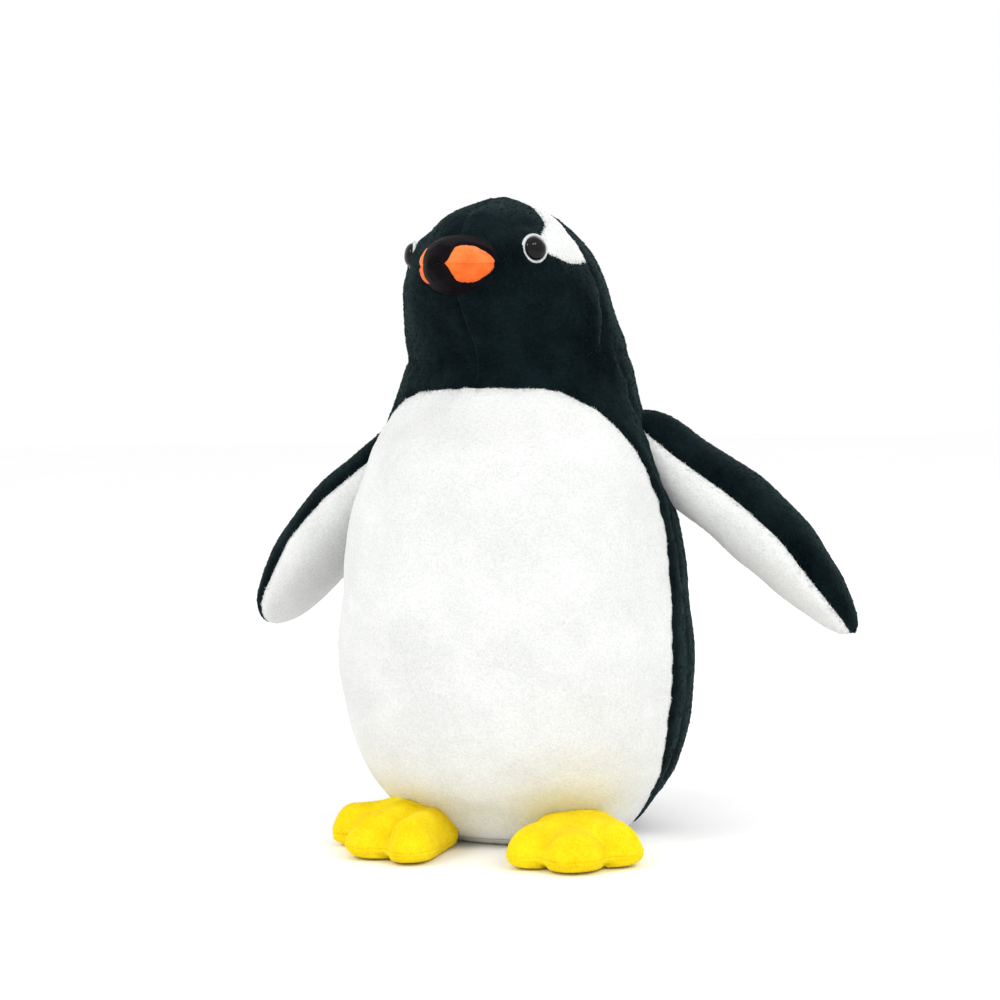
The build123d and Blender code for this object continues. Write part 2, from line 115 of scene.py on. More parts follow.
# Lobes of each foot seen from above, from the heel: turn in degrees, distance of the near and
# far ends of the lobe's middle line, radius at each, and height above the seam. The heel lobe
# comes first, then the inner, middle and outer toes. The right foot's toes spread wider.
FOOT_LOBES = {
    1: [(3.0, 18.0, 24.5, 16.0, 16.8, 12.5), (-18.5, 18.0, 49.0, 9.5, 8.6, 12.0),
        (3.5, 24.0, 53.5, 12.0, 12.2, 10.5), (25.0, 18.0, 50.0, 12.5, 9.0, 14.5)],
    -1: [(12.0, 18.0, 24.5, 14.2, 15.2, 12.5), (-23.0, 22.0, 54.0, 7.2, 9.4, 11.0),
         (0.5, 24.0, 49.0, 12.0, 12.0, 10.5), (33.0, 18.0, 45.0, 10.0, 10.4, 11.0)],
}
FOOT_RISE = {1: 0.94, -1: 1.24}  # the left foot is stuffed flatter than the right
FOOT_REACH = 48                # no toe ends further than this from the foot's middle
FOOT_MOST = 14.0               # the foot's height over its seam levels off towards this
FOOT_WEB = 5.4                 # half the thickness of the web between the toes
FOOT_SEAM_HEIGHT = 5.5

TAIL_ROOT = np.array((0.0, 50.0, 36.0))
TAIL_DIRECTION = np.array((0.0, 0.80, -0.60))
# Tail outline: distance from the root, half width, half thickness.
TAIL_OUTLINE = [(-6, 0, 0), (-4.5, 11, 5), (2, 17, 7.6), (14, 15, 6.6), (26, 9.8, 4.8), (33, 4.2, 2.8),
                (35.5, 0, 0)]
TAIL_UPWARD = np.array((0, 0.6, 0.8))

# Thickness of the fabric with its backing.
BODY_FABRIC = 1.2
FLIPPER_FABRIC = 1.0
FOOT_FABRIC = 0.9
BEAK_FABRIC = 0.8
SIDES = (("left", 1), ("right", -1))


# ---- curves and fields ----
def monotone(xs, ys, x):
    """Values at x of a smooth curve through the points that doesn't overshoot them."""
    xs = np.asarray(xs, float)
    ys = np.asarray(ys, float)
    step = np.diff(xs)
    slope = np.diff(ys) / step
    tangent = np.concatenate([[slope[0]], np.zeros(len(xs) - 2), [slope[-1]]])
    for i in range(1, len(xs) - 1):
        if slope[i - 1] * slope[i] > 0:
            a = 2 * step[i] + step[i - 1]
            b = step[i] + 2 * step[i - 1]
            tangent[i] = (a + b) / (a / slope[i - 1] + b / slope[i])
    k = np.clip(np.searchsorted(xs, x, side="right") - 1, 0, len(step) - 1)
    h = step[k]
    t = np.clip((x - xs[k]) / h, 0, 1)
    return ((1 + 2 * t) * (1 - t) ** 2 * ys[k] + t * (1 - t) ** 2 * h * tangent[k]
            + t * t * (3 - 2 * t) * ys[k + 1] + t * t * (t - 1) * h * tangent[k + 1])


OUTLINE_SAMPLES = 1200


def outline_along(points, count, softness=2.0):
    """The columns of an outline at count rows, evenly spaced by its length and slightly
    smoothed."""
    table = np.array(points, float)
    length = np.concatenate([[0], np.cumsum(np.hypot(np.diff(table[:, 0]), np.diff(table[:, 1])))])
    dense = np.linspace(0, length[-1], OUTLINE_SAMPLES)
    columns = [monotone(length, table[:, i], dense) for i in range(table.shape[1])]
    reach = max(int(softness / length[-1] * OUTLINE_SAMPLES * 3), 1)
    kernel = np.exp(-0.5 * (np.arange(-reach, reach + 1) / (reach / 3)) ** 2)
    kernel /= kernel.sum()
    smooth = []
    for column in columns:
        before = 2 * column[0] - column[reach:0:-1]
        after = 2 * column[-1] - column[-2:-reach - 2:-1]
        smooth.append(np.convolve(np.concatenate([before, column, after]), kernel, mode="valid"))
    rows = np.linspace(0, length[-1], count)
    return [np.interp(rows, dense, column) for column in smooth]


def spline_points(points, per_span=10):
    """A Catmull-Rom curve through given 2D points."""
    p = np.array(points, float)
    p = np.vstack([2 * p[0] - p[1], p, 2 * p[-1] - p[-2]])
    out = []
    for i in range(1, len(p) - 2):
        t = np.linspace(0, 1, per_span, endpoint=False)[:, None]
        out.append(0.5 * (2 * p[i] + (p[i + 1] - p[i - 1]) * t
                          + (2 * p[i - 1] - 5 * p[i] + 4 * p[i + 1] - p[i + 2]) * t ** 2
                          + (3 * p[i] - p[i - 1] - 3 * p[i + 1] + p[i + 2]) * t ** 3))
    return np.vstack(out + [p[-2:-1]])


def inside_distance(outline, y, z):
    """Signed distance of the points (y, z) to a closed outline, positive inside it."""
    start = np.asarray(outline, float)
    end = np.roll(start, -1, axis=0)
    nearest = np.full(y.shape, 1e9)
    inside = np.zeros(y.shape, bool)
    for (ay, az), (by, bz) in zip(start, end):
        ey, ez = by - ay, bz - az
        t = np.clip(((y - ay) * ey + (z - az) * ez) / max(ey * ey + ez * ez, 1e-12), 0, 1)
        nearest = np.minimum(nearest, np.hypot(y - ay - t * ey, z - az - t * ez))
        if az != bz:
            crosses = (az > z) != (bz > z)
            inside ^= crosses & (y < ay + (z - az) * ey / ez)
    return np.where(inside, nearest, -nearest)


def mirrored(point, side):
    """A point or direction of the left side, or its mirror image for side -1."""
    return point * np.array((side, 1, 1))


def smoothstep(x):
    t = np.clip(x, 0, 1)
    return t * t * (3 - 2 * t)


def speckle(points, scale, offset=0.0):
    """Soft random values from -1 to 1 in space, the same on every run."""
    shift = Vector((offset, offset, offset))
    return np.array([noise.noise(Vector(p) * scale + shift) for p in points.tolist()])


def uneven(points, away, seam, fade, nap):
    """Puckers that fade out over a distance from the seams, and the nap's own unevenness.
    seam and nap are (scale, offset, height)."""
    puckers = speckle(points, *seam[:2]) * seam[2] * np.exp(-away / fade)
    return puckers + speckle(points, *nap[:2]) * nap[2]


def grain_of(points, seed, size):
    return np.random.default_rng(seed).normal(0, size, len(points))


def pole_to_pole(grid):
    """The points of a grid whose first and last rows are each drawn together into a pole."""
    return np.vstack([grid[0].mean(axis=0), grid[1:-1].reshape(-1, 3), grid[-1].mean(axis=0)])


# ---- forms: closed surfaces with a pole at each end ----
def down_columns(grid):
    """Both ends of each edge from a row to the next."""
    return grid[:-1], grid[1:]


def round_rows(grid):
    """Both ends of each edge along a row."""
    return grid, np.roll(grid, -1, axis=1)


class Form:
    """A closed surface of rings between two poles, with fields that its panels are cut by."""

    def __init__(self, surface, rows, columns):
        self.rows = rows
        self.columns = columns
        self.turn = 2 * math.pi * np.arange(columns) / columns
        self.points = surface(rows, self.turn)
        self.ring_count = rows - 2
        self.polygons = self.make_polygons()
        self.facing = 1.0
        self.base_normals = self.normals(self.points)
        if (self.base_normals * (self.points - self.points.mean(axis=0))).sum() < 0:
            self.facing = -1.0
            self.base_normals = -self.base_normals
            self.polygons = [tuple(reversed(polygon)) for polygon in self.polygons]
        self.final = self.points.copy()
        self.fields = {}

    def make_polygons(self):
        n = self.columns
        last = 1 + self.ring_count * n
        polygons = []
        for j in range(n):
            k = (j + 1) % n
            polygons.append((0, 1 + k, 1 + j))
            polygons.append((last, last - n + j, last - n + k))
        for i in range(self.ring_count - 1):
            a = 1 + i * n
            b = a + n
            for j in range(n):
                k = (j + 1) % n
                polygons.append((a + j, a + k, b + k, b + j))
        return polygons

    def normals(self, points):
        """Unit normals from the surface's own rows and columns, pointing outwards."""
        grid = self.grid(points)
        along = np.gradient(grid, axis=0)
        around = (np.roll(grid, -1, axis=1) - np.roll(grid, 1, axis=1)) / 2
        normal = np.cross(around, along)
        size = np.linalg.norm(normal, axis=2, keepdims=True)
        normal = normal / np.maximum(size, 1e-9)
        out = np.empty_like(points)
        out[1:-1] = normal[1:-1].reshape(-1, 3)
        out[0] = out[1:1 + self.columns].mean(axis=0)
        out[-1] = out[-1 - self.columns:-1].mean(axis=0)
        return out * self.facing / np.linalg.norm(out, axis=1, keepdims=True)

    def grid(self, values):
        """Values per vertex as rows and columns, the poles repeated round their rows."""
        middle = values[1:-1].reshape(self.ring_count, self.columns, -1)
        first = np.repeat(values[0].reshape(1, 1, -1), self.columns, axis=1)
        last = np.repeat(values[-1].reshape(1, 1, -1), self.columns, axis=1)
        return np.concatenate([first, middle, last], axis=0)

    def ungrid(self, grid):
        """Rows and columns back to one value per vertex."""
        inner = grid[1:-1].reshape(-1)
        return np.concatenate([[grid[0].mean()], inner, [grid[-1].mean()]])

    def crossings(self, field, mask=None):
        """Points where a field changes sign along the grid's edges."""
        value = self.grid(self.fields[field])[:, :, 0]
        place = self.grid(self.points)
        allowed = np.ones(value.shape, bool)
        if mask is not None:
            allowed = self.grid(mask.astype(float))[:, :, 0] > 0.5
        found = []
        for ends in (down_columns, round_rows):
            near, far = ends(value)
            p, q = ends(place)
            hit = ends(allowed)[0] & ((near > 0) != (far > 0))
            t = near[hit] / (near[hit] - far[hit])
            found.append(p[hit] + (q[hit] - p[hit]) * t[:, None])
        return np.vstack(found)

    def displace(self, amount):
        """Moves the surface out along its normals."""
        self.final = self.points + self.base_normals * amount[:, None]
        self.final_normals = self.normals(self.final)


def tree_of(targets):
    tree = kdtree.KDTree(len(targets))
    for i, target in enumerate(targets.tolist()):
        tree.insert(target, i)
    tree.balance()
    return tree


def distance_to(points, targets):
    """Distance of each point to the nearest target point."""
    tree = tree_of(targets)
    return np.array([tree.find(p)[2] for p in points.tolist()])


CLOTH_SETTINGS = {"quality": 6, "mass": 0.3, "tension_stiffness": 12, "compression_stiffness": 8,
                  "shear_stiffness": 4, "bending_stiffness": 0.6, "use_pressure": True,
                  "uniform_pressure_force": 4.0}


def inflate(coarse, pinned, shrink, slack, frames, cap):
    """How far stuffing pushes the fabric out along its normals, by cloth simulation with
    the seams held: the mesh starts shrink inside its shape, its panels are cut larger than
    the shape by the share slack, and it moves at most cap."""
    start = (coarse.points - coarse.base_normals * shrink) * MM
    mesh = bpy.data.meshes.new("cloth")
    mesh.from_pydata(start.tolist(), [], coarse.polygons)
    cloth = bpy.data.objects.new("cloth", mesh)
    bpy.context.scene.collection.objects.link(cloth)
    group = cloth.vertex_groups.new(name="held")
    group.add(np.nonzero(pinned)[0].tolist(), 1.0, "REPLACE")
    modifier = cloth.modifiers.new("cloth", "CLOTH")
    for key, value in CLOTH_SETTINGS.items():
        setattr(modifier.settings, key, value)
    modifier.settings.shrink_min = -slack
    modifier.settings.vertex_group_mass = "held"
    modifier.settings.effector_weights.gravity = 0
    modifier.point_cache.frame_start = 1
    modifier.point_cache.frame_end = frames
    for number in range(1, frames + 1):
        bpy.context.scene.frame_set(number)
    shaped = cloth.evaluated_get(bpy.context.evaluated_depsgraph_get()).data
    moved = np.array([v.co for v in shaped.vertices], float)
    bpy.data.objects.remove(cloth)
    bpy.data.meshes.remove(mesh)
    bpy.context.scene.frame_set(1)
    push = ((moved - start) / MM * coarse.base_normals).sum(axis=1)
    return np.clip(push, -cap, cap)


def swelling(coarse, pinned, form, **settings):
    push = inflate(coarse, pinned, **settings)
    return finer(push, coarse, form)


def finer(values, coarse, form):
    """Values on a coarse form read on a finer one with the same surface."""
    grid = coarse.grid(values)[:, :, 0]
    for _ in range(2):
        padded = np.concatenate([grid[:, -1:], grid, grid[:, :1]], axis=1)
        grid = (padded[:, :-2] + 2 * padded[:, 1:-1] + padded[:, 2:]) / 4
        grid[1:-1] = (grid[:-2] + 2 * grid[1:-1] + grid[2:]) / 4
    wrapped = np.concatenate([grid, grid[:, :1]], axis=1)
    columns = np.arange(form.columns) / form.columns * coarse.columns
    rows = np.linspace(0, coarse.rows - 1, form.rows)
    across = np.array([np.interp(columns, np.arange(coarse.columns + 1), row) for row in wrapped])
    full = np.array([np.interp(rows, np.arange(coarse.rows), column) for column in across.T]).T
    return form.ungrid(full)


def valleys(form, seams):
    """How far the skin dips at its seams: each is (field, mask, depth, width)."""
    dip = np.zeros(len(form.points))
    nearest = np.full(len(form.points), 1e9)
    for field, mask, depth, width in seams:
        away = distance_to(form.points, form.crossings(field, mask))
        dip = np.maximum(dip, depth * np.exp(-(away / width) ** 2))
        nearest = np.minimum(nearest, away)
    return dip, nearest


# ---- panels ----
SNAP = 0.12                    # a field smaller than this counts as a cut through the vertex
EDGE_REACH = 1.3               # how far from a panel's edge its tufts stand over the seam


def clip(table, polygons, column, sign):
    """The part of a polygon mesh where a field has this sign; cut edges get new vertices."""
    value = table[:, column] * sign
    value = np.where(np.abs(value) < SNAP, 0.0, value)
    rows = [table]
    made = {}
    count = len(table)
    extra = []
    kept = []
    values = value.tolist()
    for polygon in polygons:
        signs = [values[i] for i in polygon]
        if min(signs) >= 0:
            if max(signs) > 0:
                kept.append(polygon)
            continue
        if max(signs) <= 0:
            continue
        ring = []
        for place, i in enumerate(polygon):
            j = polygon[(place + 1) % len(polygon)]
            if values[i] >= 0:
                ring.append(i)
            if (values[i] > 0 and values[j] < 0) or (values[i] < 0 and values[j] > 0):
                key = (i, j) if i < j else (j, i)
                if key not in made:
                    a, b = key
                    t = values[a] / (values[a] - values[b])
                    extra.append(table[a] + (table[b] - table[a]) * t)
                    made[key] = count
                    count += 1
                ring.append(made[key])
        if len(ring) >= 3:
            kept.append(tuple(ring))
    if extra:
        rows.append(np.array(extra))
        rows[1][:, column] = 0.0
    whole = np.vstack(rows)
    used = sorted({i for polygon in kept for i in polygon})
    renumber = {old: new for new, old in enumerate(used)}
    return whole[used], [tuple(renumber[i] for i in polygon) for polygon in kept]


def tufts(points, normals, polygons, rim, comb, pile, rng):
    """Short tufts of pile as closed three-sided spikes. They lie along comb, except beside
    the panel's edge, where they stand over the seam."""
    triangles = np.array([(p[0], p[i], p[i + 1]) for p in polygons for i in range(1, len(p) - 1)])
    a, b, c = (points[triangles[:, i]] for i in range(3))
    edge = points[sorted({i for pair in rim for i in pair})]
    edge = edge[np.abs(edge[:, 0]) > 1.0]
    tree = tree_of(edge)
    away = np.array([tree.find(place)[2] for place in ((a + b + c) / 3).tolist()])
    dense = pile["field"] + pile["edge"] * np.exp(-(away / EDGE_REACH) ** 2)
    area = np.linalg.norm(np.cross(b - a, c - a), axis=1) / 2 * dense
    total = min(int(area.sum() * (1.0)), pile["most"])
    pick = rng.choice(len(triangles), total, p=area / area.sum())
    u, v = rng.random(total), rng.random(total)
    flip = u + v > 1
    u[flip], v[flip] = 1 - u[flip], 1 - v[flip]
    corner = triangles[pick].T
    place, up = (sum(table[i] * share[:, None] for i, share in zip(corner, (1 - u - v, u, v)))
                 for table in (points, normals))
    up /= np.linalg.norm(up, axis=1, keepdims=True)
    found = [tree.find(p) for p in place.tolist()]
    to_edge = np.array([f[0] for f in found]) - place
    near = np.array([f[2] for f in found])[:, None]
    over = np.exp(-(near / EDGE_REACH) ** 2)
    lie = comb(place) * (1 - over) + to_edge / np.maximum(near, 0.05) * over
    lie += rng.normal(0, PILE_STRAY, (total, 3))
    lie -= up * (lie * up).sum(axis=1, keepdims=True)
    lie /= np.maximum(np.linalg.norm(lie, axis=1, keepdims=True), 1e-9)
    side = np.cross(up, lie)
    lift = np.radians(PILE_LIFT + rng.normal(0, 6, total))[:, None]
    length = (pile["length"] * rng.uniform(0.65, 1.25, total))[:, None]
    half = (pile["width"] / 2 * rng.uniform(0.8, 1.25, total))[:, None]
    root = place - up * 0.25
    tip = place + (lie * np.cos(lift) + up * np.sin(lift)) * length
    ridge = root + up * 0.9 * half * 2 - lie * half
    vertices = np.stack([root + side * half, root - side * half, ridge, tip], axis=1).reshape(-1, 3)
    first = 4 * np.arange(total)[:, None]
    faces = np.concatenate([first + np.array([f]) for f in ((0, 2, 1), (0, 1, 3), (1, 2, 3), (2, 0, 3))])
    return vertices, faces.tolist()


def make_object(name, points, polygons, material):
    mesh = bpy.data.meshes.new(name)
    mesh.from_pydata((np.asarray(points) * MM).tolist(), [], [list(p) for p in polygons])
    mesh.validate(clean_customdata=False)
    mesh.materials.append(material)
    mesh.polygons.foreach_set("use_smooth", [True] * len(mesh.polygons))
    mesh.update()
    piece = bpy.data.objects.new(name, mesh)
    bpy.context.scene.collection.objects.link(piece)
    return piece


def panel(name, form, cuts, thickness, material, pile=None, comb=None, lowest=None):
    """A closed fabric panel cut from a form. cuts are (field, sign) pairs."""
    names = list(form.fields)
    table = np.hstack([form.final, form.final_normals] + [form.fields[n][:, None] for n in names])
    polygons = form.polygons
    for field, sign in cuts:
        table, polygons = clip(table, polygons, 6 + names.index(field), sign)
    outer = table[:, :3]
    normal = table[:, 3:6] / np.linalg.norm(table[:, 3:6], axis=1, keepdims=True)
    inner = outer - normal * thickness
    if lowest is not None:
        inner[:, 2] = np.maximum(inner[:, 2], lowest + 0.4)
    count = len(outer)
    edges = {}
    for polygon in polygons:
        for place, i in enumerate(polygon):
            edges[(i, polygon[(place + 1) % len(polygon)])] = True
    rim = [(i, j) for (i, j) in edges if (j, i) not in edges]
    faces = list(polygons)
    faces += [tuple(count + i for i in reversed(polygon)) for polygon in polygons]
    faces += [(j, i, count + i, count + j) for i, j in rim]
    points = np.vstack([outer, inner])
    if pile:
        seed = sum(ord(c) * (i + 1) for i, c in enumerate(name))
        vertices, spikes = tufts(outer, normal, polygons, rim, comb, pile, np.random.default_rng(seed))
        if lowest is not None:
            vertices[:, 2] = np.maximum(vertices[:, 2], lowest)
        faces += [tuple(len(points) + i for i in spike) for spike in spikes]
        points = np.vstack([points, vertices])
    return make_object(name, points, faces, material)


# ---- materials ----
class Nodes:
    """A material's node tree, built by name."""

    def __init__(self, name):
        self.material = bpy.data.materials.new(name)
        self.material.use_nodes = True
        self.tree = self.material.node_tree
        self.shader = self.tree.nodes["Principled BSDF"]
        self.place = self.add("ShaderNodeTexCoord").outputs["Object"]

    def add(self, kind, **values):
        node = self.tree.nodes.new(kind)
        for key, value in values.items():
            setattr(node, key, value)
        return node

    def link(self, source, target):
        self.tree.links.new(source, target)

    def noise(self, scale, detail=3.0, roughness=0.6, stretch=None):
        node = self.add("ShaderNodeTexNoise")
        node.inputs["Scale"].default_value = scale
        node.inputs["Detail"].default_value = detail
        node.inputs["Roughness"].default_value = roughness
        place = self.place
        if stretch:
            mapping = self.add("ShaderNodeMapping")
            mapping.inputs["Scale"].default_value = stretch
            self.link(place, mapping.inputs["Vector"])
            place = mapping.outputs["Vector"]
        self.link(place, node.inputs["Vector"])
        return node.outputs["Fac"]

    def ramp(self, source, stops):
        node = self.add("ShaderNodeValToRGB")
        elements = node.color_ramp.elements
        while len(elements) < len(stops):
            elements.new(0.5)
        for element, (place, colour) in zip(elements, stops):
            element.position = place
            element.color = (*colour, 1)
        self.link(source, node.inputs["Fac"])
        return node.outputs["Color"]

    def mix(self, share, a, b):
        node = self.add("ShaderNodeMix", data_type="RGBA")
        node.inputs["Factor"].default_value = share
        self.link(a, node.inputs["A"])
        self.link(b, node.inputs["B"])
        return node.outputs["Result"]

    def bump(self, heights):
        """heights are (source, strength, distance in metres), from coarse to fine."""
        normal = None
        for source, strength, distance in heights:
            node = self.add("ShaderNodeBump")
            node.inputs["Strength"].default_value = strength
            node.inputs["Distance"].default_value = distance
            self.link(source, node.inputs["Height"])
            if normal:
                self.link(normal, node.inputs["Normal"])
            normal = node.outputs["Normal"]
        self.link(normal, self.shader.inputs["Normal"])

    def colour(self, source):
        self.link(source, self.shader.inputs["Base Color"])

    def set(self, **values):
        for key, value in values.items():
            self.shader.inputs[key.replace("_", " ")].default_value = value


def plush(name, dark, middle, light, sheen, sheen_tint=(1, 1, 1), sheen_patch_share=0.3, shine=0.15):
    """Short cut-pile fabric: fine tufts in its colour and bump, and soft patches of painted sheen in its
    colour.
    """
    nodes = Nodes(name)
    fine = nodes.ramp(nodes.noise(1100, 3, 0.7), [(0.30, dark), (0.52, middle), (0.72, light)])
    # Painted sheen: soft lighter and darker patches in the base colour stand for light catching the pile.
    nap = nodes.ramp(nodes.noise(38, 4, 0.62), [(0.38, dark), (0.66, light)])
    nodes.colour(nodes.mix(sheen_patch_share, fine, nap))
    nodes.bump([(nodes.noise(240, 3, 0.6), 0.35, 0.0010), (nodes.noise(1500, 2, 0.6), 0.45, 0.0005)])
    nodes.set(Roughness=0.95, Sheen_Weight=sheen, Sheen_Roughness=0.45, Sheen_Tint=(*sheen_tint, 1))
    nodes.set(Specular_IOR_Level=shine)
    return nodes.material


def satin(name, dark, light, sheen, shine=0.22):
    """Smooth woven fabric with a faint crossing of threads."""
    nodes = Nodes(name)
    nodes.colour(nodes.ramp(nodes.noise(160, 3, 0.6), [(0.35, dark), (0.68, light)]))
    weave = nodes.noise(2200, 1, 0.4, (1, 1, 0.25))
    cross = nodes.noise(2200, 1, 0.4, (0.25, 0.25, 1))
    nodes.bump([(nodes.noise(300, 2, 0.5), 0.15, 0.0006), (weave, 0.20, 0.0002), (cross, 0.20, 0.0002)])
    nodes.set(Roughness=0.62, Sheen_Weight=sheen, Sheen_Roughness=0.3, Specular_IOR_Level=shine)
    return nodes.material


def plastic(name, dark, light, roughness, coat=0.0, shine=0.5):
    """Moulded plastic, almost one colour."""
    nodes = Nodes(name)
    nodes.colour(nodes.ramp(nodes.noise(400, 2, 0.5), [(0.3, dark), (0.7, light)]))
    nodes.bump([(nodes.noise(900, 2, 0.5), 0.02, 0.0002)])
    nodes.set(Roughness=roughness, Coat_Weight=coat, Coat_Roughness=0.03, Specular_IOR_Level=shine)
    return nodes.material


# The black and yellow plush take a larger share of the painted sheen patches.
BLACK = plush("black_plush", (0.0003, 0.0013, 0.0022), (0.0010, 0.0036, 0.0052), (0.0075, 0.0165, 0.0180),
              sheen=0.10, sheen_tint=(0.45, 0.75, 0.78), sheen_patch_share=0.5, shine=0.03)
WHITE = plush("white_plush", (0.62, 0.63, 0.62), (0.76, 0.77, 0.76), (0.84, 0.85, 0.84), sheen=0.15)
YELLOW = plush("yellow_plush", (0.78, 0.50, 0.002), (0.92, 0.69, 0.004), (1.0, 0.86, 0.02),
               sheen=0.08, sheen_tint=(1.0, 0.95, 0.4), sheen_patch_share=0.55, shine=0.05)
ORANGE = satin("orange_satin", (0.80, 0.105, 0.008), (0.92, 0.17, 0.02), sheen=0.10)
# Painted light: the same orange satin made lighter for the upper halves, as if lit from above.
ORANGE_PAINTED_LIT = satin("orange_satin_painted_lit", (0.86, 0.15, 0.02), (0.95, 0.24, 0.05), sheen=0.15)
SATIN_BLACK = satin("black_satin", (0.0025, 0.0018, 0.0026), (0.006, 0.004, 0.0058), sheen=0.0, shine=0.04)
FIBRE = plush("stuffing_fibre", (0.60, 0.60, 0.59), (0.80, 0.80, 0.79), (0.92, 0.92, 0.91), sheen=0.3)
LINING = satin("lining_weave", (0.62, 0.60, 0.55), (0.75, 0.74, 0.70), sheen=0.1)
PELLETS = plastic("pellet_plastic", (0.62, 0.62, 0.60), (0.74, 0.74, 0.72), roughness=0.45)
EYE_BLACK = plastic("eye_black", (0.001, 0.001, 0.0012), (0.002, 0.002, 0.0025), roughness=0.05, shine=0.22)
EYE_RIM = plastic("eye_rim", (0.50, 0.51, 0.52), (0.66, 0.67, 0.68), roughness=0.22, coat=0.4)
WASHER = plastic("washer_plastic", (0.74, 0.74, 0.72), (0.84, 0.84, 0.82), roughness=0.5)

# Tufts per square millimetre over the field and more beside an edge, the most on one panel, and
# their length and width; then their rise in degrees and how much they stray.
BLACK_PILE = {"field": 0.40, "edge": 0.9, "most": 26000, "length": 1.1, "width": 0.38}
WHITE_PILE = {"field": 0.0, "edge": 3.2, "most": 14000, "length": 1.15, "width": 0.42}
PILE_LIFT = 9.0
PILE_STRAY = 0.3


def stands_for(piece, node, slot):
    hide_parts(node)
    return piece


def dressed(name, form, cuts, thickness, material, slot, pile=None, comb=None, lowest=None):
    """The fabric panel that stands for a node of the CAD model, with its fields cut."""
    piece = panel(name + "_fabric", form, cuts, thickness, material, pile, comb, lowest)
    stands_for(piece, name, slot)
    return piece


def lying_along(direction):
    """A comb that lays the nap in one direction."""
    return lambda places: np.tile(direction, (len(places), 1))


# ---- body ----
def body_surface(rows, turn):
    height, half_width, half_depth, forward = outline_along(BODY_OUTLINE, rows)
    height = np.maximum(height, 0.0)
    x = half_width[:, None] * np.sin(turn)
    y = -forward[:, None] - half_depth[:, None] * np.cos(turn)
    z = np.repeat(height[:, None], len(turn), axis=1)
    return pole_to_pole(np.stack([x, y, z], axis=2))


BELLY_CURVE, SIDE_CURVE, HEAD_SIDE_CURVE, NECK_CURVE = (
    spline_points(seam) for seam in (BELLY_BORDER, BODY_SIDE_SEAM, HEAD_SIDE_SEAM, NECK_SEAM))
PATCH_REAR_CURVE, PATCH_FRONT_CURVE, PATCH_LOWER_CURVE = (
    spline_points(seam) for seam in (PATCH_REAR, PATCH_FRONT, PATCH_LOWER))


def body_fields(form):
    x, y, z = form.points.T
    far = 200.0
    below = [(BELLY_BORDER[-1][0], -far), (-far, -far), (-far, BELLY_BORDER[0][1])]
    f = form.fields
    f["x"] = x.copy()
    f["belly"] = inside_distance(np.vstack([BELLY_CURVE, below]), y, z)
    below = [(BODY_SIDE_SEAM[-1][0], -far), (-far, -far), (-far, far + 205), (-6, far + 205)]
    f["front"] = inside_distance(np.vstack([SIDE_CURVE, below]), y, z)
    f["neck"] = z - np.interp(y, NECK_CURVE[:, 0], NECK_CURVE[:, 1])
    above = [(-4, 400), (-far, 400), (-far, 100), (-12, 100)]
    f["face"] = inside_distance(np.vstack([HEAD_SIDE_CURVE, PATCH_REAR_CURVE[1:], above]), y, z)
    patch = np.vstack([PATCH_LOWER_CURVE, PATCH_REAR_CURVE[1:], PATCH_FRONT_CURVE])
    f["patch"] = inside_distance(patch, y, z)
    under = (np.hypot(x / 41.0, y / 37.5) < 0.95) & (z < 10)
    f["base"] = np.where(under, -3.0, z - BASE_SEAM_HEIGHT)
    return form


def body_seams(form):
    """The body's seams as (field, mask, depth, width)."""
    _, y, z = form.points.T
    neck = form.fields["neck"]
    front = y < 0
    torso = (neck < 0) & (z > BASE_SEAM_HEIGHT)
    head = neck > 0
    return [
        ("x", torso & front & (form.fields["belly"] > 0) & (z < 120), 0.15, 2.0),
        ("x", torso & front & (form.fields["belly"] <= 0), 0.7, 2.0),
        ("x", head & front & (form.fields["patch"] < 0), 0.7, 2.0),
        ("x", (torso | head) & ~front, 0.8, 2.2),
        ("belly", torso, 0.9, 2.0),
        ("front", torso & (z > 8), 0.6, 2.2),
        ("neck", z > 150, 1.1, 3.0),
        ("face", head, 0.9, 2.2),
        ("patch", head & (form.fields["face"] > 1), 0.6, 1.7),
        ("base", z < 10, 1.1, 2.4),
    ]


def outside_torso(points):
    """Rough distance outside the torso's surface."""
    table = np.array(BODY_OUTLINE[3:15])
    height = np.maximum(points[:, 2], table[0, 0])
    half_width, half_depth, forward = (np.interp(height, table[:, 0], table[:, i]) for i in (1, 2, 3))
    ratio = np.hypot(points[:, 0] / half_width, (points[:, 1] + forward) / half_depth)
    return (ratio - 1) * np.sqrt(half_width * half_depth)


def flipper_frame(side):
    """The flipper's pivot, and its directions along, over its width and out of the body."""
    axis = FLIPPER_TIP - FLIPPER_PIVOT
    axis = axis / np.linalg.norm(axis)
    chord = FLIPPER_CHORD - axis * FLIPPER_CHORD.dot(axis)
    chord = chord / np.linalg.norm(chord)
    return [mirrored(value, side) for value in (FLIPPER_PIVOT, axis, chord, np.cross(chord, axis))]


def press_around_flippers(points):
    """How far the torso's fabric dips where the flippers are sewn on."""
    root_half_chord, root_half_thickness, root_reach = 18.5, 14.5, 34
    depth, fade = 0.8, 3.0
    dip = np.zeros(len(points))
    for _, side in SIDES:
        pivot, axis, chord, outward = flipper_frame(side)
        local = points - pivot
        ratio = np.hypot(local @ chord / root_half_chord, local @ outward / root_half_thickness)
        away = np.maximum((ratio - 1) * 15, 0)
        near = np.exp(-(away / fade) ** 2) * (np.abs(local @ axis) < root_reach)
        dip = np.maximum(dip, depth * near)
    return dip


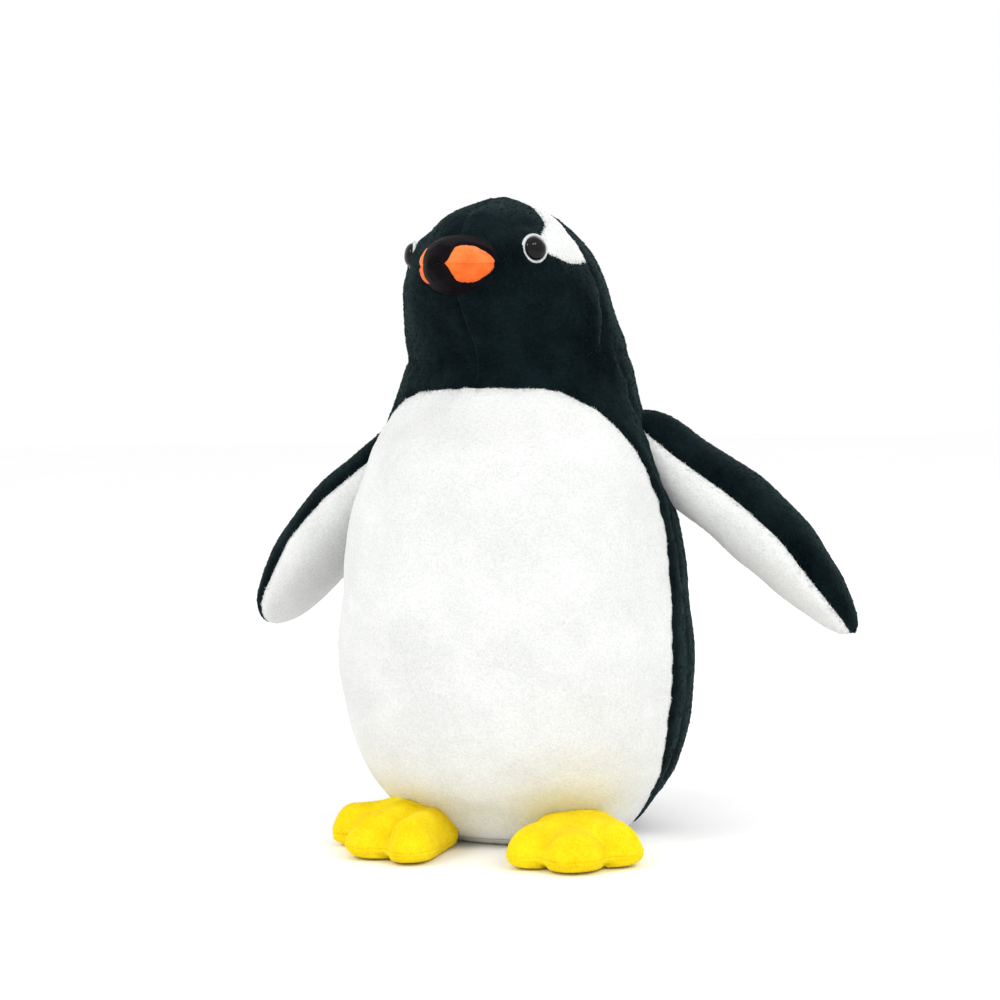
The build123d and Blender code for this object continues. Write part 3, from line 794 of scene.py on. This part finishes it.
def seat_eyes(points):
    """Pulls the head's fabric flat behind each eye, as its washer does, with a lip of fabric
    round the ring."""
    seat_depth, lip_height, lip_start, lip_width = 1.3, 1.9, 4.8, 1.8
    hold_radius, hold_fade, hold_reach, most = 6.6, 5.0, 15, 1.5
    for _, side in SIDES:
        axis = mirrored(EYE_AXIS, side)
        local = points - mirrored(EYE_CENTRE, side)
        height = local @ axis
        away = np.linalg.norm(local - height[:, None] * axis, axis=1)
        hold = 1 - smoothstep((away - hold_radius) / hold_fade)
        hold *= np.abs(height) < hold_reach
        seat = -seat_depth + lip_height * smoothstep((away - lip_start) / lip_width)
        points += axis * (np.minimum(seat - height, most) * hold)[:, None]


def shaped_body():
    form = body_fields(Form(body_surface, 250, 336))
    dip, nearest = valleys(form, body_seams(form))
    coarse = body_fields(Form(body_surface, 66, 84))
    _, away = valleys(coarse, body_seams(coarse))
    held = (away < 3.2) | (coarse.points[:, 2] < 3)
    height = form.points[:, 2]
    push = 0.5 * swelling(coarse, held, form, shrink=1.4, slack=0.035, frames=18, cap=3.0) - 0.5
    push -= 0.8 * smoothstep((height - 240) / 22)
    push *= smoothstep(height / 8)
    pucker = uneven(form.points, nearest, seam=(0.16, 0.0, 0.9), fade=6.0, nap=(0.05, 7.0, 0.5))
    pucker *= smoothstep(height / 12)
    grain = grain_of(form.points, seed=11, size=0.06) * (height > 3)
    form.displace(push + pucker + grain - dip - press_around_flippers(form.points))
    seat_eyes(form.final)
    form.final[:, 2] = np.where(height < 0.5, height, np.maximum(form.final[:, 2], 0.3))
    form.final_normals = form.normals(form.final)
    return form


BODY = shaped_body()


def flatten_middle_seam(piece):
    """Shades the belly up to its middle seam as if the fabric went on."""
    middle = {v.index for v in piece.data.vertices if abs(v.co.x) < 1e-6}
    for edge in piece.data.edges:
        edge.use_edge_sharp = set(edge.vertices) <= middle


def body_panels():
    torso = [("neck", -1), ("base", 1)]
    plan = {
        "belly_panel": ([("belly", 1)] + torso, WHITE, "white_plush"),
        "chest_panel": ([("belly", -1), ("front", 1)] + torso, BLACK, "black_plush"),
        "back_panel": ([("belly", -1), ("front", -1)] + torso, BLACK, "black_plush"),
        "face_panel": ([("neck", 1), ("face", 1), ("patch", -1)], BLACK, "black_plush"),
        "back_head_panel": ([("neck", 1), ("face", -1)], BLACK, "black_plush"),
        "eye_patch": ([("neck", 1), ("face", 1), ("patch", 1)], WHITE, "white_plush"),
    }
    comb = lying_along((0, 0, -1.0))
    for side, sign in SIDES:
        for kind, (cuts, material, slot) in plan.items():
            pile = BLACK_PILE if material == BLACK else WHITE_PILE
            piece = dressed(f"{side}_{kind}", BODY, cuts + [("x", sign)], BODY_FABRIC, material, slot,
                            pile, comb, 0.2)
            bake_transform(piece)
            if kind == "belly_panel":
                flatten_middle_seam(piece)
    base = dressed("base_panel", BODY, [("base", -1)], BODY_FABRIC, WHITE, "white_plush")
    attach(base, "torso")


body_panels()


# ---- flippers ----
def flipper_surface(side):
    pivot, axis, chord, outward = flipper_frame(side)

    def surface(rows, turn):
        reach, half_chord, half_thickness, arch = outline_along(FLIPPER_OUTLINE, rows, softness=1.5)
        middle = pivot + axis * reach[:, None] + outward * arch[:, None]
        across = chord * half_chord[:, None]
        through = outward * half_thickness[:, None]
        return pole_to_pole(middle[:, None] + across[:, None] * np.cos(turn * side)[None, :, None]
                            + through[:, None] * np.sin(turn * side)[None, :, None])

    return surface


def flipper_bend(side):
    """Two points on the flipper's axis: 8 mm from its pivot towards the body, and 34 mm out from it."""
    pivot, axis, _, _ = flipper_frame(side)
    return tuple((pivot - axis * 8) * MM), tuple((pivot + axis * 34) * MM)


def make_flipper(side_name, side):
    pivot, axis, _, outward = flipper_frame(side)
    rows, columns = ((120, 104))

    def with_fields(form):
        turn = np.concatenate([[0], np.tile(form.turn, form.ring_count), [0]])
        wave = np.sin(turn * side)
        wave[np.abs(wave) < 1e-9] = 0
        local = form.points - pivot
        arch = np.interp(local @ axis, [p[0] for p in FLIPPER_OUTLINE], [p[3] for p in FLIPPER_OUTLINE])
        form.fields["outer"] = local @ outward - arch
        form.fields["outer"][np.abs(wave) < 1e-9] = 0
        form.fields["outer"] += FLIPPER_WRAP * smoothstep((local @ axis - 55) / 30)
        form.fields["clear"] = outside_torso(form.points) + 4.0
        return form

    form = with_fields(Form(flipper_surface(side), rows, columns))
    away = distance_to(form.points, form.crossings("outer"))
    coarse = with_fields(Form(flipper_surface(side), 34, 28))
    held = distance_to(coarse.points, coarse.crossings("outer")) < 2.0
    held |= (coarse.points - pivot) @ axis < 2
    push = 0.3 * swelling(coarse, held, form, shrink=1.2, slack=0.05, frames=16, cap=2.5)
    dip = 1.0 * np.exp(-(away / 2.0) ** 2)
    pucker = uneven(form.points, away, seam=(0.17, 3.0, 0.35), fade=5.0, nap=(0.06, 5.0, 0.5))
    form.displace(push + pucker + grain_of(form.points, seed=21 + side, size=0.05) - dip)
    plan = (("outer_panel", 1, BLACK, "black_plush", BLACK_PILE),
            ("inner_panel", -1, WHITE, "white_plush", WHITE_PILE))
    for kind, sign, material, slot, pile in plan:
        cuts = [("outer", sign), ("clear", 1)]
        piece = dressed(f"{side_name}_flipper_{kind}", form, cuts, FLIPPER_FABRIC, material, slot,
                        pile, lying_along(axis))
        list(flipper_bend(side))
        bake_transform(piece)


for side_name, side in SIDES:
    make_flipper(side_name, side)


# ---- feet ----
def foot_lobes(side, across, ahead):
    """How full each lobe is at a place seen from above (0 at its edge, 1 along its middle
    line), and the height of the foot's top there. The place is measured from the heel."""
    height = np.zeros(across.shape)
    fullest = np.zeros(across.shape)
    for turn, near, far, near_radius, far_radius, crown in FOOT_LOBES[side]:
        sine, cosine = math.sin(math.radians(turn)), math.cos(math.radians(turn))
        along = across * sine + ahead * cosine
        aside = across * cosine - ahead * sine
        share = np.clip((along - near) / (far - near), 0, 1)
        radius = near_radius + (far_radius - near_radius) * share
        off = np.hypot(along - near - share * (far - near), aside)
        full = np.maximum(1 - (off / radius) ** 2, 0)
        height += (crown * np.sqrt(full)) ** 4
        fullest = np.maximum(fullest, full)
    height = height ** (1 / 4)
    return fullest, height / (1 + (height / FOOT_MOST) ** 4) ** 0.25


def foot_surface(side):
    """A foot's surface, shaped as on the left side and mirrored for the right."""
    def surface(rows, turn):
        reach = np.arange(0.5, FOOT_REACH, 0.1)
        across = np.sin(turn)[:, None] * reach
        ahead = FOOT_MIDDLE + np.cos(turn)[:, None] * reach
        full, _ = foot_lobes(side, across, ahead)
        radius = reach[np.argmax(full <= 0, axis=1)]
        blur = np.exp(-0.5 * (np.arange(-12, 13) / 2.1 * 150 / len(turn)) ** 2)
        wrapped = np.concatenate([radius[-12:], radius, radius[:12]])
        radius = np.convolve(wrapped, blur / blur.sum(), mode="valid")
        level = np.linspace(-1, 1, rows)
        share = np.cos(level * math.pi / 2) ** 0.75
        share[0] = share[-1] = 0
        place = share[:, None] * radius
        across = np.sin(turn) * place
        ahead = FOOT_MIDDLE + np.cos(turn) * place
        full, crown = foot_lobes(side, across, ahead)
        edge = np.sqrt(1 - share ** 8)[:, None]
        least = FOOT_WEB * ((1 - share ** 2) ** 0.36)[:, None]
        over = np.maximum(crown * edge * FOOT_RISE[side], least)
        under = np.maximum(FOOT_SEAM_HEIGHT * np.sqrt(np.minimum(full * 3.5, 1)) * edge, least)
        height = FOOT_SEAM_HEIGHT + np.where(level[:, None] > 0, over, -under)
        grid = FOOT_HEEL + FOOT_FORWARD * ahead[:, :, None] + FOOT_OUTWARD * across[:, :, None]
        grid[:, :, 2] = height
        if side < 0:
            grid[:, :, 0] = 2 * FEET_OFFSET - grid[:, :, 0]
        return pole_to_pole(grid)

    return surface


def foot_bend(side):
    """Two points on the foot's forward line, 8 mm and 30 mm ahead of its heel."""
    forward = mirrored(FOOT_FORWARD, side)
    heel = FOOT_HEEL.copy()
    if side < 0:
        heel[0] = 2 * FEET_OFFSET - heel[0]
    return tuple((heel + forward * 8) * MM), tuple((heel + forward * 30) * MM)


def make_foot(side_name, side):
    rows, columns = ((73, 180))
    form = Form(foot_surface(side), rows, columns)
    form.fields["top"] = form.points[:, 2] - FOOT_SEAM_HEIGHT
    form.fields["clear"] = outside_torso(form.points) + 1.5
    away = distance_to(form.points, form.crossings("top"))
    coarse = Form(foot_surface(side), 25, 54)
    coarse.fields["top"] = coarse.points[:, 2] - FOOT_SEAM_HEIGHT
    held = (np.abs(coarse.fields["top"]) < 0.9) | (coarse.points[:, 2] < 0.6)
    height = form.points[:, 2]
    push = 0.5 * swelling(coarse, held, form, shrink=0.9, slack=0.05, frames=14, cap=1.6)
    push *= smoothstep(height / 4)
    dip = 0.3 * np.exp(-(away / 1.5) ** 2)
    pucker = uneven(form.points, away, seam=(0.30, 9.0, 0.45), fade=4.0, nap=(0.08, 2.0, 0.5))
    pucker *= smoothstep(height / 3)
    grain = grain_of(form.points, seed=31 + side, size=0.08) * (height > 1)
    form.displace(push + pucker + grain - dip)
    form.final[:, 2] = np.maximum(form.final[:, 2], 0.0)
    form.final_normals = form.normals(form.final)
    for kind, sign in (("top_panel", 1), ("sole_panel", -1)):
        cuts = [("top", sign), ("clear", 1)]
        piece = dressed(f"{side_name}_foot_{kind}", form, cuts, FOOT_FABRIC, YELLOW, "yellow_plush",
                        lowest=0.0)
        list(foot_bend(side))
        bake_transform(piece)


for side_name, side in SIDES:
    make_foot(side_name, side)


# ---- tail ----
def tail_surface(rows, turn):
    reach, half_width, half_thickness = outline_along(TAIL_OUTLINE, rows, softness=1.2)
    middle = TAIL_ROOT + TAIL_DIRECTION * reach[:, None]
    across = np.array((1.0, 0, 0)) * half_width[:, None]
    through = TAIL_UPWARD * half_thickness[:, None]
    return pole_to_pole(middle[:, None] - across[:, None] * np.cos(turn)[None, :, None]
                        + through[:, None] * np.sin(turn)[None, :, None])


def make_tail():
    form = Form(tail_surface, 50, 60)
    form.fields["upper"] = (form.points - TAIL_ROOT) @ TAIL_UPWARD
    form.fields["clear"] = outside_torso(form.points) + 3.0
    away = distance_to(form.points, form.crossings("upper"))
    bulge = 0.8 * (1 - np.exp(-away / 3.0))
    pucker = speckle(form.points, 0.2, 4.0) * 0.7 * np.exp(-away / 4.0)
    dip = 0.8 * np.exp(-(away / 1.8) ** 2)
    form.displace(bulge + pucker + grain_of(form.points, seed=41, size=0.08) - dip)
    for kind, sign in (("upper_panel", 1), ("lower_panel", -1)):
        piece = dressed(f"tail_{kind}", form, [("upper", sign), ("clear", 1)], FLIPPER_FABRIC, BLACK,
                        "black_plush", BLACK_PILE, lying_along(TAIL_DIRECTION), 0.5)
        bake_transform(piece)


make_tail()


# ---- beak ----
def beak_surface(rows, turn):
    outline = [(BEAK_BACK, 0, 0)] + BEAK_OUTLINE
    y, half_width, half_height = outline_along(outline, rows, softness=0.8)
    grid = np.empty((rows, len(turn), 3))
    grid[:, :, 0] = half_width[:, None] * np.cos(turn)
    grid[:, :, 1] = y[:, None]
    grid[:, :, 2] = BEAK_HEIGHT + half_height[:, None] * np.sin(turn)
    return pole_to_pole(grid)


def make_beak():
    form = Form(beak_surface, 90, 144)
    x, y, z = form.points.T
    rise = z - BEAK_HEIGHT
    rise[np.abs(rise) < 1e-6] = 0
    form.fields["x"] = np.where(np.abs(x) < 1e-6, 0, x)
    form.fields["upper"] = rise
    front = np.where(x > 0, ALMOND_FRONT["left"], ALMOND_FRONT["right"])
    across = np.clip((2 * y - ALMOND_REAR - front) / (ALMOND_REAR - front), -1.6, 1.6)
    across -= ALMOND_SKEW * (1 - across ** 2)
    bluntness = np.where(across < 0, 2.6, 2.0)
    lens = ALMOND_HALF_HEIGHT * (1 - np.abs(across) ** bluntness)
    form.fields["almond"] = (lens - np.abs(rise)) * 0.8
    away = distance_to(form.points, form.crossings("almond"))
    inside = form.fields["almond"] > 0
    split = distance_to(form.points, form.crossings("upper", y < -46))
    dip = 0.55 * np.exp(-(away / 0.9) ** 2) + np.where(inside, 0.7, 0.12) * np.exp(-(split / 0.9) ** 2)
    bulge = np.where(inside, 0.3, 0.2) * (1 - np.exp(-away / 2.0))
    pucker = speckle(form.points, 0.30, 6.0) * 0.35
    form.displace(bulge + pucker - dip)
    plan = {
        "beak_top": ([("upper", 1), ("almond", -1)], SATIN_BLACK, "black_satin"),
        "beak_bottom": ([("upper", -1), ("almond", -1)], SATIN_BLACK, "black_satin"),
    }
    for side_name, side in SIDES:
        # The upper halves take the orange satin painted lighter, as if lit from above.
        for half, sign, material in (("upper", 1, ORANGE_PAINTED_LIT), ("lower", -1, ORANGE)):
            cuts = [("almond", 1), ("upper", sign), ("x", side)]
            plan[f"{side_name}_beak_side_{half}"] = (cuts, material, "orange_satin")
    for name, (cuts, material, slot) in plan.items():
        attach(dressed(name, form, cuts, BEAK_FABRIC, material, slot), "head")


make_beak()


# ---- eyes ----
def turned(name, profile, centre, axis, material, segments=72, closed_loop=False):
    """A solid of revolution. profile is (radius, height) from one end of the axis to the
    other, or all the way round a ring's section if closed_loop."""
    across = np.cross(np.array((0.0, 0, 1)), axis)
    across /= np.linalg.norm(across)
    third = np.cross(axis, across)
    count = len(profile)
    angles = [2 * math.pi * k / segments for k in range(segments)]
    outs = [across * math.cos(angle) + third * math.sin(angle) for angle in angles]
    points = [centre + axis * height + out * radius for radius, height in profile for out in outs]
    faces = []
    for i in range(count if closed_loop else count - 1):
        here, above = i * segments, (i + 1) % count * segments
        for k in range(segments):
            n = (k + 1) % segments
            faces.append((here + k, here + n, above + n, above + k))
    if not closed_loop:
        faces.append(tuple(reversed(range(segments))))
        faces.append(tuple(range((count - 1) * segments, count * segments)))
    return make_object(name, np.array(points), faces, material)


def make_eyes():
    angles = [2 * math.pi * k / 20 for k in range(20)]
    ring_section = [(EYE_RING_RADIUS + EYE_RING_SECTION * math.cos(angle),
                     EYE_RING_HEIGHT + EYE_RING_SECTION * math.sin(angle)) for angle in angles]
    stem_and_rim = [(0.3, -9.0), (1.3, -9.0), (1.6, -8.7), (1.6, -0.4), (EYE_RADIUS - 0.3, -0.2),
                    (EYE_RADIUS, 0.1)]
    rise = [math.radians(degrees) for degrees in range(0, 91, 5)]
    dome = stem_and_rim + [(EYE_RADIUS * math.cos(angle) ** 0.9 + 0.001, 0.6 + 3.2 * math.sin(angle))
                           for angle in rise]
    for side_name, side in SIDES:
        axis = mirrored(EYE_AXIS, side)
        centre = mirrored(EYE_CENTRE, side) - axis * EYE_SINK
        eye = turned(f"{side_name}_eye_dome", dome, centre, axis, EYE_BLACK)
        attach(stands_for(eye, f"{side_name}_eye", "black_eye"), "head")
        rim = turned(f"{side_name}_eye_rim", ring_section, centre, axis, EYE_RIM, segments=96,
                     closed_loop=True)
        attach(stands_for(rim, f"{side_name}_eye_ring", "silver_ring"), "head")
        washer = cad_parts[f"{side_name}_eye_washer"]
        washer.data.materials.clear()
        washer.data.materials.append(WASHER)


make_eyes()


# ---- stuffing, pouch and pellets ----
CUT_FADE = 45                  # how far beyond a cut the stuffing is drawn to the cut's middle
WING_FILL_START = 12.0         # distance from the flipper's pivot
FOOT_FILL_BACK = -54.0         # Y of the stuffing's end towards the belly


def fill_form(surface, rows, columns, inset):
    """A form drawn in from the skin, with fibre lumps."""
    form = Form(surface, rows, columns)
    lumps = speckle(form.points, 0.12, 13.0) * 0.7
    form.final = form.points - form.base_normals * (inset - lumps)[:, None]
    return form


def fibre(name, form, cuts=()):
    """Stuffing from a form, cut flat by (normal axis, height, sign) planes. What lies
    beyond a plane is drawn in towards the middle of the cut."""
    points = form.final.copy()
    for axis, height, sign in cuts:
        beyond = np.maximum((height - points[:, axis]) * sign, 0)
        at_cut = points[(beyond > 0) & (beyond < 6)].mean(axis=0)
        draw = np.clip(1 - beyond / CUT_FADE, 0, 1)[:, None]
        points = np.where(beyond[:, None] > 0, at_cut + (points - at_cut) * draw, points)
        points[:, axis] = np.where(beyond > 0, height, points[:, axis])
    piece = make_object(name + "_fibre", points, form.polygons, FIBRE)
    stands_for(piece, name, "stuffing")
    return piece


def make_fillings():
    body = fill_form(body_surface, 90, 120, inset=7.5)
    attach(fibre("torso_stuffing", body, [(2, 3.0, 1), (2, 196.0, -1)]), "torso")
    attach(fibre("head_stuffing", body, [(2, 200.0, 1)]), "head")
    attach(fibre("beak_stuffing", fill_form(beak_surface, 30, 48, inset=1.6), [(1, -49.0, -1)]), "head")
    tail = fibre("tail_stuffing", fill_form(tail_surface, 30, 36, inset=2.4), [(1, 57.0, 1)])
    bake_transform(tail)
    for side_name, side in SIDES:
        pivot, axis, _, _ = flipper_frame(side)
        form = fill_form(flipper_surface(side), 50, 40, inset=3.6)
        reach = (form.final - pivot) @ axis
        form.final += axis * np.maximum(WING_FILL_START - reach, 0)[:, None]
        wing = fibre(f"{side_name}_flipper_stuffing", form)
        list(flipper_bend(side))
        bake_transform(wing)
        form = fill_form(foot_surface(side), 31, 60, inset=3.4)
        form.final[:, 1] = np.minimum(form.final[:, 1], FOOT_FILL_BACK)
        foot = fibre(f"{side_name}_foot_stuffing", form)
        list(foot_bend(side))
        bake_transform(foot)


def make_pellets():
    """The pouch in the base and the loose grains inside it."""
    low, high = (np.array(corner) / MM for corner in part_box("pellet_pouch"))
    centre = (low + high) / 2
    radius = (high[0] - low[0]) / 2
    half = (high[2] - low[2]) / 2
    angles = [math.radians(-90 + 7.5 * k) for k in range(25)]
    profile = [(max(radius * math.cos(angle) ** 0.5, 0.3), half * math.sin(angle)) for angle in angles]
    nearly_up = np.array((1e-6, 0, 1.0))
    pouch = turned("pellet_pouch_bag", profile, centre, nearly_up, LINING)
    stands_for(pouch, "pellet_pouch", "lining")
    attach(pouch, "torso")
    rng = np.random.default_rng(51)
    spacing, jitter, grain_radius = 4.2, 0.25, 1.9
    side_gap, top_gap = 4, 3.5
    points, faces = [], []
    corners = np.array([(1, 0, 0), (-1, 0, 0), (0, 1, 0), (0, -1, 0), (0, 0, 1), (0, 0, -1)], float)
    sides = [(0, 2, 4), (2, 1, 4), (1, 3, 4), (3, 0, 4), (2, 0, 5), (1, 2, 5), (3, 1, 5), (0, 3, 5)]
    for i in range(-8, 9):
        for j in range(-8, 9):
            for k in range(-3, 4):
                place = np.array((i + 0.5 * (j % 2), j * 0.87, k * 0.85)) * spacing
                place += rng.normal(0, jitter, 3)
                if np.hypot(place[0], place[1]) < radius - side_gap and abs(place[2]) < half - top_gap:
                    faces += [tuple(len(points) + n for n in side) for side in sides]
                    points += list(centre + place + corners * grain_radius)
    grains = make_object("pellet_fill_grains", np.array(points), faces, PELLETS)
    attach(stands_for(grains, "pellet_fill", "pellets"), "torso")


make_fillings()
make_pellets()


# ---- floor, light and camera ----
FLOOR_REACH = 6000
SENSOR_WIDTH = 36.0
# The bearing of the camera from the front, its tilt round the line of sight, its distance from
# the object's axis and height over the floor in metres, the lens in thousandths of the picture's
# width, and the line of sight's lean to the right and up.
CAMERA_AZIMUTH = math.radians(24.0)
CAMERA_ROLL = math.radians(1.6)
CAMERA_DISTANCE = 1.0
CAMERA_HEIGHT = 0.19
FOCAL = 2381.0
LOOK_RIGHT = -0.00813
LOOK_UP = -0.05036


def make_stage():
    nodes = Nodes("pale_floor")
    nodes.colour(nodes.ramp(nodes.noise(3, 2, 0.5), [(0.3, (0.98, 0.98, 0.98)), (0.7, (0.99, 0.99, 0.99))]))
    nodes.set(Roughness=0.8)
    corners = [(x * FLOOR_REACH, y * FLOOR_REACH, 0) for x, y in ((-1, -1), (1, -1), (1, 1), (-1, 1))]
    floor = make_object("floor", corners, [(0, 1, 2, 3)], nodes.material)
    world = bpy.data.worlds.new("studio")
    world.use_nodes = True
    world.node_tree.nodes["Background"].inputs["Color"].default_value = (1, 1, 1, 1)
    world.node_tree.nodes["Background"].inputs["Strength"].default_value = 1.0
    bpy.context.scene.world = world


def area_light(name, place, aim_height, size, power):
    """A lamp that is aimed at a height on the toy's axis, in metres and watts."""
    data = bpy.data.lights.new(name, "AREA")
    data.shape = "RECTANGLE"
    data.size, data.size_y = size
    data.energy = power
    light = bpy.data.objects.new(name, data)
    bpy.context.scene.collection.objects.link(light)
    light.location = place
    light.rotation_euler = (Vector((0, 0, aim_height)) - Vector(place)).to_track_quat("-Z", "Y").to_euler()


def make_camera():
    right = Vector((math.cos(CAMERA_AZIMUTH), math.sin(CAMERA_AZIMUTH), 0))
    ahead = Vector((-math.sin(CAMERA_AZIMUTH), math.cos(CAMERA_AZIMUTH), 0))
    up = Vector((0, 0, 1))
    place = -ahead * CAMERA_DISTANCE + up * CAMERA_HEIGHT
    look = (right * LOOK_RIGHT + up * LOOK_UP + ahead).normalized()
    image_right = right * math.cos(CAMERA_ROLL) - up * math.sin(CAMERA_ROLL)
    side = (image_right - look * image_right.dot(look)).normalized()
    top = side.cross(look)
    data = bpy.data.cameras.new("camera")
    data.sensor_width = SENSOR_WIDTH
    data.lens = FOCAL / 1000.0 * SENSOR_WIDTH
    data.clip_end = 50
    camera = bpy.data.objects.new("camera", data)
    bpy.context.scene.collection.objects.link(camera)
    turn = Matrix((side, top, -look)).transposed().to_4x4()
    camera.matrix_world = Matrix.Translation(place) @ turn
    bpy.context.scene.camera = camera


make_stage()
area_light("key", (-0.9, -1.5, 1.5), aim_height=0.13, size=(0.45, 0.45), power=8)
area_light("fill", (1.35, -1.05, 1.55), aim_height=0.13, size=(0.55, 0.35), power=6)
area_light("side", (1.65, -0.55, 1.45), aim_height=0.13, size=(0.35, 0.35), power=4)
area_light("back", (0.4, 1.4, 1.2), aim_height=0.15, size=(1.0, 1.0), power=6)
bpy.context.scene.view_settings.view_transform = "Standard"
make_camera()
